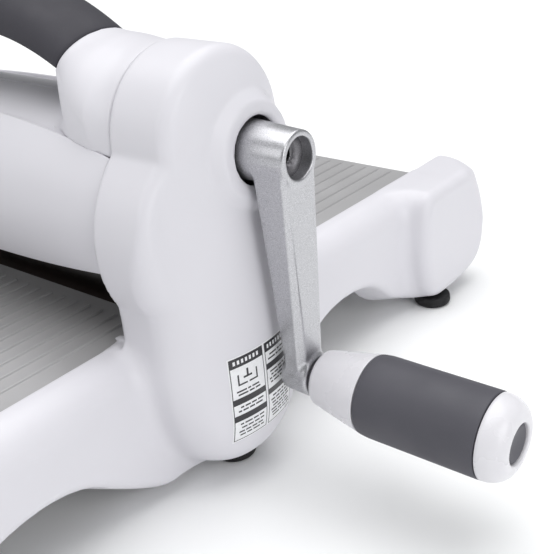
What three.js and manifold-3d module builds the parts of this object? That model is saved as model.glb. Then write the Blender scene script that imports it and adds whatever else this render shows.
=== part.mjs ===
// Hand-cranked die cutting machine, modelled as its separate pieces.
// Millimetres, +Z up. The machine's own frame has X across the machine (the crank is on +X),
// Y along the feed direction and Z up from the surface that the feet rest on. The outer group
// is shifted along X so that the whole object's box is centred on the origin.
import * as THREE from "three";
import { mergeVertices } from "three/addons/utils/BufferGeometryUtils.js";
import Module from "manifold-3d";

const wasm = await Module();
wasm.setup();

// ---------------------------------------------------------------- driving dimensions
const GAP = 0.3; // air left between touching pieces
const FRAME_SHIFT_X = -43.64; // puts the middle of the object's box at X = 0

const MACHINE_HALF_LENGTH = 190; // ends of the arms, along Y

const BED = { halfWidth: 72.6, halfLength: 160.5, top: 59.1, plate: 2.6, smoothHalf: 16.8 };
const RIB = { pitch: 7.03, count: 19, height: 0.6, width: 1.6 };
const RAIL = { crestX: 73, crestZ: 60, outerX: 87.7, wall: 2.6, halfLength: 155.5, bottom: 5.4 };
const ARCH_DRAFT = { innerX: 71, inset: 6 }; // the arches narrow towards the inside

const HEAD = { z: 127.5, radius: 27.4 }; // upper round of each side column
const BODY = { z: 96.8, radius: 39.8 }; // lower, larger round of the side column
const COLUMN = { innerX: 78.25, outerX: 107.5, wall: 2.8, roundSize: 6, roundDepth: 5 };
const CROWN = { radius: 75, lowZ: 34 }; // bulge of the column's outer face about an upright line
const LEAN = { slope: 0.045, lowZ: 45, startX: 86 }; // outer face leans out from the head down
const TRUNK = [[33.7, 75.6], [31.2, 66], [33.7, 50], [32.9, 38], [30, 27], [23.5, 14.5], [10.5, 6.4]];
const TRUNK_BOTTOM = { z: 5.4, halfWidth: 4 };

const POD = { innerX: 73, outerX: 98.5, front: 130.5, back: MACHINE_HALF_LENGTH, top: 60, bottom: 5.2 };
const POD_CORNER = { point: [85.5, 189.5, 60], normal: [0.62, 0.65, 0.44] }; // plane that cuts it off

const MODULE = 1.4;
const PINION_TEETH = 18;
const GEAR_TEETH = 30;
const GEAR = { x0: 85, x1: 95 };
const PINION_RADIUS = (MODULE * PINION_TEETH) / 2;
const GEAR_RADIUS = (MODULE * GEAR_TEETH) / 2;
const CRANK_Y = 5.5; // the crank turns a little behind the rollers
const CRANK_Z = 121.6;
const UPPER_ROLLER_Z = CRANK_Z - Math.sqrt((PINION_RADIUS + GEAR_RADIUS) ** 2 - CRANK_Y ** 2);
const LOWER_ROLLER_Z = UPPER_ROLLER_Z - 2 * GEAR_RADIUS;
const ROLLER = { radius: 13, halfLength: 76, journal: 7, stub: 6 };
const LOWER_BARREL = 66; // half length of the lower roller's barrel, inside the bed's slot

const PLATE = { x0: 82.6, x1: 84.4 };
const BUSH_R = { roller: 9.5, crank: 8.5 };
const ROD = { radius: 4.5, stud: 3, nut: 3.4, nutRadius: 5.2 };
const WALL_HOLE = { journal: 9, rod: 5.1 }; // radii of the holes through the columns' inner walls
const UPPER_RODS = [[-23, 108], [23, 108]]; // (y, z) of each rod's axis
const LOWER_RODS = [[-19, 25], [19, 25]];

const SHROUD = { z: 100.2, halfWidth: 77.8, thickness: 2.6 }; // hoods and covers over the rollers
const HOOD_RADIUS = 36.6;
const HOOD_EDGE = { lowEnd: 86.5, lowBow: 73.5, highEnd: 124, highBow: 136 }; // heights of its bowed edges
const COVER = { radius: 33.6, seamY: -1.2 };

const HANDLE = { apexZ: 158.3, sag: 0.0056, halfWidth: 16.4, jointX: 45.5, coreEnd: 52 };
const SLEEVE = { radius: 26.6, innerX: 51, wall: 3 };

const CRANK = { length: 80.8, lean: Math.atan2(6, 80.6), hubR0: 9.7, hubR1: 8.7, hubX0: 98, hubX1: 125.7 };
const BOSS = { radius: 13.8, bore: 11.1, rise: 2 }; // raised ring round the crank's hole
const SHAFT = { radius: 6, x0: 81.4, x1: 112.3 };
const KNOB_Y = CRANK_Y + 6;
const KNOB_Z = 41;
const SPINDLE = { radius: 4 };
const SCREW = { shank: 1.8, head: 3.6 }; // screws that hold the feet
const CRANK_SCREW = { radius: 2.2, socket: 1.3 };
const KNOB_X = { collar: 126.3, grip: 146.7, cap: 190, button: 197.9, end: 198.5 };
const KNOB_R = { collar0: 9.7, collar1: 13.7, grip: 14.2, button: 6.5, bore: 4.3 };

const FOOT = { radius: 8.6, height: 4.8, middle: [88.5, 3.5], end: [91.5, 148.5] };

// ---------------------------------------------------------------- materials
const COLOURS = {
  white: { color: 0xe8e6ee, roughness: 0.38, metalness: 0 },
  darkGrip: { color: 0x504f56, roughness: 0.7, metalness: 0 },
  castSilver: { color: 0xb9b9bf, roughness: 0.4, metalness: 0.8 },
  steel: { color: 0x9a9ca0, roughness: 0.3, metalness: 1 },
  bedGrey: { color: 0xa9a9ab, roughness: 0.45, metalness: 0.2 },
  blackRubber: { color: 0x161616, roughness: 0.85, metalness: 0 },
  bronze: { color: 0x9c7a45, roughness: 0.35, metalness: 0.9 },
  gearNylon: { color: 0xd9d6c8, roughness: 0.5, metalness: 0 },
};
const materials = {};
for (const [name, values] of Object.entries(COLOURS)) {
  materials[name] = new THREE.MeshStandardMaterial(values);
}

// ---------------------------------------------------------------- solid helpers
function signedVolume(geometry) {
  const p = geometry.attributes.position;
  const index = geometry.index;
  const a = new THREE.Vector3();
  const b = new THREE.Vector3();
  const c = new THREE.Vector3();
  let sum = 0;
  for (let i = 0; i < index.count; i += 3) {
    a.fromBufferAttribute(p, index.getX(i));
    b.fromBufferAttribute(p, index.getX(i + 1));
    c.fromBufferAttribute(p, index.getX(i + 2));
    sum += a.dot(b.cross(c));
  }
  return sum / 6;
}

// Merged copy of a geometry with its faces pointing out.
function welded(geometry) {
  const bare = geometry.clone();
  bare.deleteAttribute("normal");
  bare.deleteAttribute("uv");
  const merged = mergeVertices(bare, 1e-4);
  if (signedVolume(merged) < 0) {
    const index = merged.index;
    for (let i = 0; i < index.count; i += 3) {
      const second = index.getX(i + 1);
      index.setX(i + 1, index.getX(i + 2));
      index.setX(i + 2, second);
    }
  }
  return merged;
}

function toSolid(geometry) {
  const merged = welded(geometry);
  const vertProperties = new Float32Array(merged.attributes.position.array);
  const triVerts = new Uint32Array(merged.index.array);
  return new wasm.Manifold(new wasm.Mesh({ numProp: 3, vertProperties, triVerts }));
}

function toGeometry(solid) {
  const mesh = solid.getMesh();
  const geometry = new THREE.BufferGeometry();
  geometry.setAttribute("position", new THREE.BufferAttribute(new Float32Array(mesh.vertProperties), 3));
  geometry.setIndex(new THREE.BufferAttribute(new Uint32Array(mesh.triVerts), 1));
  return geometry;
}

function join(...geometries) {
  let solid = toSolid(geometries[0]);
  for (const geometry of geometries.slice(1)) {
    solid = solid.add(toSolid(geometry));
  }
  return toGeometry(solid);
}

function cut(geometry, ...tools) {
  let solid = toSolid(geometry);
  for (const tool of tools) {
    solid = solid.subtract(toSolid(tool));
  }
  return toGeometry(solid);
}

function common(first, second) {
  return toGeometry(toSolid(first).intersect(toSolid(second)));
}

function mirrored(geometry) {
  const copy = welded(geometry);
  copy.scale(-1, 1, 1);
  return welded(copy);
}

// ---------------------------------------------------------------- shape helpers
function box(x0, x1, y0, y1, z0, z1) {
  const geometry = new THREE.BoxGeometry(x1 - x0, y1 - y0, z1 - z0);
  geometry.translate((x0 + x1) / 2, (y0 + y1) / 2, (z0 + z1) / 2);
  return geometry;
}

// Solid of revolution about a line along X at (y, z); the profile is a list of [x, radius]
// that starts and ends on the axis.
function turnedX(profile, y, z, segments = 32) {
  const points = profile.map(([x, r]) => new THREE.Vector2(r, x));
  const geometry = new THREE.LatheGeometry(points, segments);
  geometry.rotateZ(-Math.PI / 2);
  geometry.translate(0, y, z);
  return geometry;
}

function cylinderX(x0, x1, radius, y, z, segments = 32) {
  return turnedX([[x0, 0], [x0, radius], [x1, radius], [x1, 0]], y, z, segments);
}

function tubeX(x0, x1, outer, inner, y, z, segments = 32) {
  return turnedX([[x0, inner], [x0, outer], [x1, outer], [x1, inner], [x0, inner]], y, z, segments);
}

// Slab of a (y, z) outline between two X planes.
function slabX(shape, x0, x1, bevel = null, curveSegments = 8) {
  const options = { depth: x1 - x0, bevelEnabled: false, curveSegments, steps: 1 };
  if (bevel) {
    options.bevelEnabled = true;
    options.bevelSize = bevel.size;
    options.bevelOffset = -bevel.size;
    options.bevelThickness = bevel.depth;
    options.bevelSegments = bevel.segments;
    options.depth = x1 - x0 - 2 * bevel.depth;
  }
  const geometry = new THREE.ExtrudeGeometry(shape, options);
  const basis = new THREE.Matrix4().makeBasis(
    new THREE.Vector3(0, 1, 0),
    new THREE.Vector3(0, 0, 1),
    new THREE.Vector3(1, 0, 0),
  );
  geometry.applyMatrix4(basis);
  geometry.translate(bevel ? x0 + bevel.depth : x0, 0, 0);
  return geometry;
}

// Slab of an (x, z) outline between two Y planes.
function slabY(shape, y0, y1) {
  const geometry = new THREE.ExtrudeGeometry(shape, { depth: y1 - y0, bevelEnabled: false });
  const basis = new THREE.Matrix4().makeBasis(
    new THREE.Vector3(1, 0, 0),
    new THREE.Vector3(0, 0, 1),
    new THREE.Vector3(0, -1, 0),
  );
  geometry.applyMatrix4(basis);
  geometry.translate(0, y1, 0);
  return geometry;
}

function outline(points) {
  return new THREE.Shape(points.map(([u, v]) => new THREE.Vector2(u, v)));
}

// ---------------------------------------------------------------- side column outline
// Outline of the column in (y, z): head circle, body circle and the trunk below them. inset
// moves it inwards for the hollow.
function columnShape(inset) {
  const headR = HEAD.radius - inset;
  const bodyR = BODY.radius - inset;
  const rise = HEAD.z - BODY.z;
  const creaseZ = BODY.z + (bodyR ** 2 - headR ** 2 + rise ** 2) / (2 * rise);
  const creaseY = Math.sqrt(headR ** 2 - (creaseZ - HEAD.z) ** 2);
  const headAngle = Math.atan2(creaseZ - HEAD.z, creaseY);
  const bodyAngle = Math.atan2(creaseZ - BODY.z, creaseY);
  const trunkTop = Math.atan2(TRUNK[0][1] - BODY.z, TRUNK[0][0]);
  // The inset also lifts the trunk's points, by nothing at the waist and by all of it at the foot.
  const waistZ = TRUNK[1][1];
  const lift = (z) => (inset * (waistZ - z)) / (waistZ - TRUNK_BOTTOM.z);
  const side = TRUNK.map(([y, z]) => new THREE.Vector2(y - inset, z + lift(z)));
  const shape = new THREE.Shape();
  shape.absarc(0, HEAD.z, headR, headAngle, Math.PI - headAngle, false);
  shape.absarc(0, BODY.z, bodyR, Math.PI - bodyAngle, Math.PI - trunkTop, false);
  for (const point of side.slice(1)) {
    shape.lineTo(-point.x, point.y);
  }
  shape.lineTo(-TRUNK_BOTTOM.halfWidth, TRUNK_BOTTOM.z + inset);
  shape.lineTo(TRUNK_BOTTOM.halfWidth, TRUNK_BOTTOM.z + inset);
  for (const point of side.slice(1).reverse()) {
    shape.lineTo(point.x, point.y);
  }
  shape.absarc(0, BODY.z, bodyR, trunkTop, bodyAngle, false);
  return shape;
}

// The outer faces lean out towards the bottom.
function leanOut(geometry) {
  const p = geometry.attributes.position;
  for (let i = 0; i < p.count; i += 1) {
    const ramp = (p.getX(i) - LEAN.startX) / (COLUMN.outerX - LEAN.startX);
    const drop = Math.max(0, HEAD.z - Math.max(p.getZ(i), LEAN.lowZ));
    p.setX(i, p.getX(i) + THREE.MathUtils.clamp(ramp, 0, 1) * LEAN.slope * drop);
  }
  return geometry;
}

// Column, or with an inset its hollow, from innerX out to its crowned face.
function columnSolid(inset, innerX) {
  const outerX = COLUMN.outerX - inset;
  const bevel = { size: COLUMN.roundSize, depth: COLUMN.roundDepth, segments: inset > 0 ? 1 : 2 };
  const slab = slabX(columnShape(inset), innerX - bevel.depth, outerX, bevel, 6);
  const radius = CROWN.radius - inset;
  const crown = new THREE.CapsuleGeometry(radius, HEAD.z - CROWN.lowZ, 6, 40);
  crown.rotateX(Math.PI / 2);
  crown.translate(outerX - radius, 0, (HEAD.z + CROWN.lowZ) / 2);
  const inner = box(innerX, outerX + 1, -60, 60, 0, 170);
  return leanOut(common(common(slab, inner), crown));
}

// ---------------------------------------------------------------- side housing
function railShape(inset) {
  const x0 = RAIL.crestX + inset;
  const x1 = RAIL.outerX - inset;
  const z1 = RAIL.crestZ - inset;
  const z0 = inset > 0 ? -5 : RAIL.bottom;
  return outline([
    [x0, z0], [x1, z0], [x1, z1 - 13], [x1 - 1.2, z1 - 8.5],
    [x1 - 4.2, z1 - 4], [x1 - 8.4, z1 - 1.2], [x0 + 1.5, z1], [x0, z1],
  ]);
}

function podShape(inset) {
  const shape = new THREE.Shape();
  const y0 = POD.front + inset;
  const y1 = POD.back - inset;
  const z0 = POD.bottom + inset;
  const z1 = POD.top - inset;
  shape.moveTo(y0 + 17, z0);
  shape.bezierCurveTo(y1 - 8, z0, y1, z0 + 4, y1, z0 + 26);
  shape.lineTo(y1, z1 - 6);
  shape.quadraticCurveTo(y1, z1, y1 - 6, z1);
  shape.lineTo(y0 + 12, z1);
  shape.bezierCurveTo(y0 + 3, z1, y0, z1 - 8, y0, z1 - 20);
  shape.bezierCurveTo(y0, z0 + 12, y0 + 6, z0, y0 + 17, z0);
  return shape;
}

// Block on the outer side of a plane.
function beyondPlane(point, normal) {
  const geometry = new THREE.BoxGeometry(80, 80, 30);
  geometry.translate(0, 0, 15);
  const turn = new THREE.Quaternion().setFromUnitVectors(new THREE.Vector3(0, 0, 1), normal);
  geometry.applyQuaternion(turn);
  geometry.translate(point.x, point.y, point.z);
  return geometry;
}

function podSolid(inset) {
  const bevel = { size: 4, depth: 3.5, segments: 1 };
  const x0 = POD.innerX + inset;
  const slab = slabX(podShape(inset), x0 - bevel.depth, POD.outerX - inset, bevel, inset > 0 ? 3 : 4);
  const normal = new THREE.Vector3(...POD_CORNER.normal).normalize();
  const point = new THREE.Vector3(...POD_CORNER.point).addScaledVector(normal, -inset);
  const pod = common(slab, box(x0, POD.outerX + 1, 100, 200, -10, 80));
  return cut(pod, beyondPlane(point, normal));
}

// Arch under each arm, between the column's foot and the pod, in (y, z).
function archShape() {
  const shape = new THREE.Shape();
  shape.moveTo(25.5, -25);
  shape.lineTo(25.5, -1);
  shape.lineTo(29.5, 5);
  shape.quadraticCurveTo(43.5, 12, 54.5, 20);
  shape.quadraticCurveTo(64.5, 29.5, 82, 30);
  shape.quadraticCurveTo(102.5, 30, 112.5, 20.5);
  shape.quadraticCurveTo(118.5, 14, 128.5, 10);
  shape.lineTo(141.5, 5);
  shape.lineTo(143.5, -1);
  shape.lineTo(143.5, -25);
  return shape;
}

function flipY(geometry) {
  const copy = welded(geometry);
  copy.scale(1, -1, 1);
  return welded(copy);
}

function cylinderZ(x, y, z0, z1, radius, segments = 20) {
  const geometry = new THREE.CylinderGeometry(radius, radius, z1 - z0, segments);
  geometry.rotateX(Math.PI / 2);
  geometry.translate(x, y, (z0 + z1) / 2);
  return geometry;
}

const FOOT_PLACES = [
  ["front", FOOT.end[0], -FOOT.end[1]],
  ["centre", FOOT.middle[0], FOOT.middle[1]],
  ["rear", FOOT.end[0], FOOT.end[1]],
];

// One side's outer moulding: column, arms and pods in one shell that is open inside and below.
function sideHousing(hasCrank) {
  const draft = RAIL.outerX - ARCH_DRAFT.innerX;
  const archBevel = { size: ARCH_DRAFT.inset, depth: draft, segments: 1 };
  const arch = slabX(archShape(), ARCH_DRAFT.innerX, RAIL.outerX + draft + GAP, archBevel, 4);
  const end = RAIL.halfLength;
  const rail = cut(slabY(railShape(0), -end, end), arch, flipY(arch));
  const railHollow = slabY(railShape(RAIL.wall), -end - 3, end + 3);
  const pod = podSolid(0);
  const podHollow = podSolid(RAIL.wall);
  const outer = join(columnSolid(0, COLUMN.innerX), rail, pod, flipY(pod));
  const columnHollow = columnSolid(COLUMN.wall, COLUMN.innerX - 1);
  const underside = box(RAIL.crestX + RAIL.wall, RAIL.outerX, -15, 15, -1, 20);
  const journalHole = cylinderX(70, 80, WALL_HOLE.journal, 0, LOWER_ROLLER_Z, 24);
  const rodHoles = LOWER_RODS.map(([y, z]) => cylinderX(70, 80, WALL_HOLE.rod, y, z, 16));
  let shell = cut(
    outer, columnHollow, railHollow, podHollow, flipY(podHollow), underside, journalHole, ...rodHoles,
  );
  if (hasCrank) {
    const face = COLUMN.outerX;
    const bossRing = cylinderX(face - 8, face + BOSS.rise, BOSS.radius, CRANK_Y, CRANK_Z);
    const bossBore = cylinderX(face - 16, face + 6, BOSS.bore, CRANK_Y, CRANK_Z);
    shell = cut(join(shell, bossRing), bossBore);
  }
  const posts = FOOT_PLACES.map(([, x, y]) => common(cylinderZ(x, y, FOOT.height + GAP, 16, 5.5), outer));
  const bores = FOOT_PLACES.map(([, x, y]) => cylinderZ(x, y, 0, 15, SCREW.shank + GAP));
  return cut(join(shell, ...posts), ...bores);
}

// Flat wall that closes the inner side of a column, with holes for the upper roller's journal
// and the upper tie rods.
function innerCover() {
  const slab = slabX(columnShape(COLUMN.wall + GAP), COLUMN.innerX + 0.2, COLUMN.innerX + 2.4, null, 6);
  const floor = box(70, 90, -60, 60, 0, RAIL.crestZ + GAP);
  const holes = [cylinderX(70, 90, WALL_HOLE.journal, 0, UPPER_ROLLER_Z, 24)];
  for (const [y, z] of UPPER_RODS) {
    holes.push(cylinderX(70, 90, WALL_HOLE.rod, y, z, 16));
  }
  return cut(slab, floor, ...holes);
}

// Steel plate that carries the bushes of both rollers and of the crank shaft.
function bearingPlate() {
  const rearEdge = [
    [10, 17.5], [18, 18.5], [22.8, 23], [24.2, 28], [25, 60], [28, 98], [28, 110], [15.5, 140],
  ];
  const frontEdge = rearEdge.map(([y, z]) => [-y, z]).reverse();
  const slab = slabX(outline([...rearEdge, ...frontEdge]), PLATE.x0, PLATE.x1);
  const holes = [cylinderX(70, 90, BUSH_R.crank + GAP, CRANK_Y, CRANK_Z, 18)];
  for (const z of [UPPER_ROLLER_Z, LOWER_ROLLER_Z]) {
    holes.push(cylinderX(70, 90, BUSH_R.roller + GAP, 0, z, 18));
  }
  for (const [y, z] of [...UPPER_RODS, ...LOWER_RODS]) {
    holes.push(cylinderX(70, 90, ROD.stud + GAP, y, z, 12));
  }
  return cut(slab, ...holes);
}

function flangedBush(outer, inner, y, z) {
  const x0 = PLATE.x0 - 0.3;
  const x1 = PLATE.x1 - GAP;
  return turnedX([
    [x0 - 1.2, inner], [x0 - 1.2, outer + 1.6], [x0, outer + 1.6], [x0, outer],
    [x1, outer], [x1, inner], [x0 - 1.2, inner],
  ], y, z, 18);
}

// Tie rod between the two bearing plates, with a thinner stud at each end.
function tieRod(y, z) {
  const shoulder = PLATE.x0 - GAP;
  const end = PLATE.x1 + ROD.nut + 0.8;
  return turnedX([
    [-end, 0], [-end, ROD.stud], [-shoulder, ROD.stud], [-shoulder, ROD.radius],
    [shoulder, ROD.radius], [shoulder, ROD.stud], [end, ROD.stud], [end, 0],
  ], y, z, 10);
}

function hexNut(x0, y, z) {
  const body = cylinderX(x0, x0 + ROD.nut - GAP, ROD.nutRadius, y, z, 6);
  return cut(body, cylinderX(x0 - 1, x0 + ROD.nut + 1, ROD.stud + GAP, y, z, 12));
}

// ---------------------------------------------------------------- bed
function platformBed() {
  const base = BED.top - RIB.height;
  const under = base - BED.plate;
  const points = [[-BED.halfWidth, under], [BED.halfWidth, under], [BED.halfWidth, base]];
  for (let i = RIB.count - 1; i >= 0; i -= 1) {
    const x = (i - (RIB.count - 1) / 2) * RIB.pitch;
    points.push([x + RIB.width / 2, base], [x + RIB.width / 2 - 0.4, BED.top]);
    points.push([x - RIB.width / 2 + 0.4, BED.top], [x - RIB.width / 2, base]);
  }
  points.push([-BED.halfWidth, base]);
  const ribbed = slabY(outline(points), -BED.halfLength, BED.halfLength);
  const smooth = box(-70, 70, -BED.smoothHalf, BED.smoothHalf, base, BED.top + 1);
  const rollerSlot = box(-LOWER_BARREL - 0.6, LOWER_BARREL + 0.6, -10.5, 10.5, 50, 62);
  return cut(ribbed, smooth, rollerSlot);
}

// Inverted channel across the machine under the bed.
function crossMember(y0, y1, z0) {
  const top = BED.top - RIB.height - BED.plate - GAP;
  const half = RAIL.crestX - GAP;
  const inner = box(-half + 2.4, half - 2.4, y0 + 2.2, y1 - 2.2, z0 - 1, top - 2.4);
  return cut(box(-half, half, y0, y1, z0, top), inner);
}

// ---------------------------------------------------------------- covers over the rollers
function arcShape(inner, outer, from, to) {
  const shape = new THREE.Shape();
  shape.absarc(0, SHROUD.z, outer, from, to, false);
  shape.absarc(0, SHROUD.z, inner, to, from, true);
  return shape;
}

// Curved front hood; its top and bottom edges bow.
function hood() {
  const arc = arcShape(HOOD_RADIUS - SHROUD.thickness, HOOD_RADIUS, Math.PI * 0.63, Math.PI * 1.22);
  const band = slabX(arc, -SHROUD.halfWidth, SHROUD.halfWidth);
  const w = SHROUD.halfWidth + 1;
  const edge = new THREE.Shape();
  edge.moveTo(-w, HOOD_EDGE.lowEnd);
  edge.quadraticCurveTo(0, HOOD_EDGE.lowBow, w, HOOD_EDGE.lowEnd);
  edge.lineTo(w, HOOD_EDGE.highEnd);
  edge.quadraticCurveTo(0, HOOD_EDGE.highBow, -w, HOOD_EDGE.highEnd);
  return common(band, slabY(edge, -60, 0));
}

// Upper cover from the seam down behind one hood. direction is -1 for the front, +1 for the rear.
function topCover(direction) {
  const seam = Math.PI / 2 + Math.asin(-COVER.seamY / COVER.radius);
  const slit = GAP / 2 / COVER.radius;
  const inner = COVER.radius - SHROUD.thickness;
  const angles = direction < 0 ? [seam + slit, Math.PI * 1.02] : [-Math.PI * 0.02, seam - slit];
  const arc = arcShape(inner, COVER.radius, angles[0], angles[1]);
  return slabX(arc, -SHROUD.halfWidth, SHROUD.halfWidth);
}

// ---------------------------------------------------------------- lofts
// Closed solid through rings of points, each ring a list of Vector3.
function loft(rings) {
  const count = rings[0].length;
  const positions = [];
  for (const ring of rings) {
    for (const point of ring) {
      positions.push(point.x, point.y, point.z);
    }
  }
  const indices = [];
  for (let r = 0; r < rings.length - 1; r += 1) {
    for (let k = 0; k < count; k += 1) {
      const next = (k + 1) % count;
      const a = r * count + k;
      const b = r * count + next;
      indices.push(a, b, b + count, a, b + count, a + count);
    }
  }
  const last = (rings.length - 1) * count;
  for (let k = 1; k < count - 1; k += 1) {
    indices.push(0, k + 1, k);
    indices.push(last, last + k, last + k + 1);
  }
  const geometry = new THREE.BufferGeometry();
  geometry.setAttribute("position", new THREE.BufferAttribute(new Float32Array(positions), 3));
  geometry.setIndex(indices);
  return geometry;
}

// ---------------------------------------------------------------- carrying handle
// Ring of the arched handle at x: width, height above and depth below its widest line.
function handleRing(x, halfWidth, above, below, segments) {
  const slope = Math.atan(2 * HANDLE.sag * x);
  const centreZ = HANDLE.apexZ - HANDLE.sag * x * x;
  const ring = [];
  for (let k = 0; k < segments; k += 1) {
    const angle = (2 * Math.PI * k) / segments;
    const rise = Math.sin(angle) * (Math.sin(angle) > 0 ? above : below);
    ring.push(new THREE.Vector3(
      x + Math.sin(slope) * rise,
      halfWidth * Math.cos(angle),
      centreZ + Math.cos(slope) * rise,
    ));
  }
  return ring;
}

function handleSweep(x0, x1, steps, segments, sizeAt) {
  const rings = [];
  for (let i = 0; i <= steps; i += 1) {
    const x = x0 + ((x1 - x0) * i) / steps;
    const [halfWidth, above, below] = sizeAt(x);
    rings.push(handleRing(x, halfWidth, above, below, segments));
  }
  return loft(rings);
}

function gripSize(x) {
  const share = Math.min(1, (x / HANDLE.jointX) ** 2);
  return [HANDLE.halfWidth, 13.4 - 3.5 * share, 5.6 - share];
}

// Steel strip inside the grip that runs into both sleeves.
function handleCore(grow) {
  const end = HANDLE.coreEnd + grow;
  return handleSweep(-end, end, 10, 8, () => [8 + grow, 4 + grow, 2.4 + grow]);
}

function handleGrip() {
  const end = HANDLE.jointX - GAP / 2;
  const skin = handleSweep(-end, end, 10, 16, gripSize);
  return cut(skin, handleCore(GAP));
}

// Shoulder that carries one end of the handle and runs into the head of the column.
function handleSleeve() {
  const r = SLEEVE.radius;
  const start = SLEEVE.innerX;
  const end = SHROUD.halfWidth;
  const drum = turnedX([
    [start, 0], [start, r - 9], [start + 2.5, r - 4], [start + 7, r - 0.8], [start + 12, r],
    [end, r], [end, 0],
  ], 0, HEAD.z, 28);
  const neck = handleSweep(HANDLE.jointX + GAP / 2, start + 9, 4, 16, (x) => {
    const [halfWidth, above, below] = gripSize(HANDLE.jointX);
    const flare = (x - HANDLE.jointX) / 20;
    return [halfWidth + 8 * flare, above + 1.5 * flare, below + 12 * flare];
  });
  const hollow = turnedX([
    [start + 3, 0], [start + 3, r - 11], [start + 12, r - SLEEVE.wall],
    [end + 2, r - SLEEVE.wall], [end + 2, 0],
  ], 0, HEAD.z, 24);
  const hollowTop = box(0, 100, -50, 50, 0, 140);
  const underCover = cylinderX(0, 100, COVER.radius + GAP, 0, SHROUD.z, 48);
  const hoodRound = cylinderX(0, 100, HOOD_RADIUS + GAP, 0, SHROUD.z, 48);
  const underHood = common(hoodRound, box(0, 100, -60, 60, 0, 130.6));
  const body = join(drum, neck);
  return cut(body, common(hollow, hollowTop), underCover, underHood, handleCore(GAP));
}

// ---------------------------------------------------------------- gears and rollers
// Spur gear outline in (y, z). turn is the angle of the first tooth's middle from +Z.
function gearShape(teeth, turn) {
  const pitch = (MODULE * teeth) / 2;
  const pressure = THREE.MathUtils.degToRad(20);
  const base = pitch * Math.cos(pressure);
  const root = pitch - 1.25 * MODULE;
  const tip = pitch + 0.92 * MODULE;
  const slack = 0.12 / pitch;
  const involute = (radius) => {
    const angle = Math.acos(Math.min(1, base / radius));
    return Math.tan(angle) - angle;
  };
  const atPitch = Math.PI / (2 * teeth) + involute(pitch) - slack;
  const halfAt = (radius) => atPitch - involute(Math.max(base, radius));
  const flank = [pitch - 0.1 * MODULE, tip];
  const points = [];
  for (let k = 0; k < teeth; k += 1) {
    const middle = turn + (2 * Math.PI * k) / teeth;
    const put = (radius, offset) => {
      points.push([radius * Math.sin(middle + offset), radius * Math.cos(middle + offset)]);
    };
    put(root, -halfAt(base) - 0.01);
    for (const radius of flank) {
      put(radius, -halfAt(radius));
    }
    for (const radius of [...flank].reverse()) {
      put(radius, halfAt(radius));
    }
    put(root, halfAt(base) + 0.01);
  }
  return points;
}

function gear(teeth, turn, y, z, bore, hubRadius) {
  const points = gearShape(teeth, turn).map(([dy, dz]) => [y + dy, z + dz]).reverse();
  const blank = slabX(outline(points), GEAR.x0 + 1, GEAR.x1);
  const hub = cylinderX(GEAR.x0, GEAR.x1 + 1, hubRadius, y, z, 24);
  return cut(join(blank, hub), cylinderX(GEAR.x0 - 5, GEAR.x1 + 5, bore, y, z, 24));
}

// Roller barrel with its journals and the stub that carries the gear.
function roller(half, z, stubEnd) {
  const farEnd = PLATE.x1 + 1.5;
  return turnedX([
    [-farEnd, 0], [-farEnd, ROLLER.journal], [-half, ROLLER.journal], [-half, ROLLER.radius - 0.8],
    [-half + 0.8, ROLLER.radius], [half - 0.8, ROLLER.radius], [half, ROLLER.radius - 0.8],
    [half, ROLLER.journal], [PLATE.x1, ROLLER.journal], [PLATE.x1, ROLLER.stub],
    [stubEnd, ROLLER.stub], [stubEnd, 0],
  ], 0, z, 24);
}

// ---------------------------------------------------------------- crank
// The arm hangs from the hub; sections run down the arm and it leans back by CRANK.lean.
function crankArm() {
  const rings = [];
  for (const s of [0, CRANK.length]) {
    const share = s / CRANK.length;
    const half = 8.5 - 2.1 * share;
    const x0 = 112.8 + 2.4 * share;
    const x1 = CRANK.hubX1 - 0.2 - 2.6 * share;
    const edge = 1.2 + 1.3 * share;
    const section = [[x0, -half], [x1 - edge, -half], [x1, -half + edge], [x1, half - edge],
      [x1 - edge, half], [x0, half]];
    rings.push(section.map(([x, y]) => new THREE.Vector3(x, y, -s)));
  }
  const bar = loft(rings);
  bar.rotateX(CRANK.lean);
  bar.translate(0, CRANK_Y, CRANK_Z);
  const hub = turnedX([
    [CRANK.hubX0, 0], [CRANK.hubX0, CRANK.hubR0], [107, CRANK.hubR0], [CRANK.hubX1 - 0.8, CRANK.hubR1 + 0.1],
    [CRANK.hubX1, CRANK.hubR1 - 0.7], [CRANK.hubX1, 0],
  ], CRANK_Y, CRANK_Z, 32);
  const boss = turnedX([
    [113, 0], [113, 7.4], [122.4, 7.8], [124.2, 6.6], [124.2, 0],
  ], KNOB_Y, KNOB_Z, 28);
  const cup = turnedX([
    [CRANK.hubX1 - 6, 0], [CRANK.hubX1 - 5, 4.6], [CRANK.hubX1 - 2.6, 6.4], [CRANK.hubX1 + 1, 6.8],
    [CRANK.hubX1 + 1, 0],
  ], CRANK_Y, CRANK_Z, 24);
  const holeRadius = CRANK_SCREW.radius + 0.4;
  const screwHole = cylinderX(CRANK.hubX1 - 14, CRANK.hubX1, holeRadius, CRANK_Y, CRANK_Z, 18);
  const shaftBore = cylinderX(CRANK.hubX0 - 1, SHAFT.x1 + GAP, SHAFT.radius + GAP, CRANK_Y, CRANK_Z, 24);
  const pinBore = cylinderX(112, 130, SPINDLE.radius + GAP, KNOB_Y, KNOB_Z, 20);
  return cut(join(bar, hub, boss), cup, screwHole, shaftBore, pinBore);
}

function crankShaft() {
  return turnedX([
    [SHAFT.x0, 0], [SHAFT.x0, SHAFT.radius], [SHAFT.x1, SHAFT.radius], [SHAFT.x1, 0],
  ], CRANK_Y, CRANK_Z, 24);
}

function crankScrew() {
  const x1 = CRANK.hubX1 - 8.5;
  const body = cylinderX(SHAFT.x1 + GAP + 0.4, x1, CRANK_SCREW.radius, CRANK_Y, CRANK_Z, 18);
  return cut(body, cylinderX(x1 - 2, x1 + 1, CRANK_SCREW.socket, CRANK_Y, CRANK_Z, 6));
}

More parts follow.
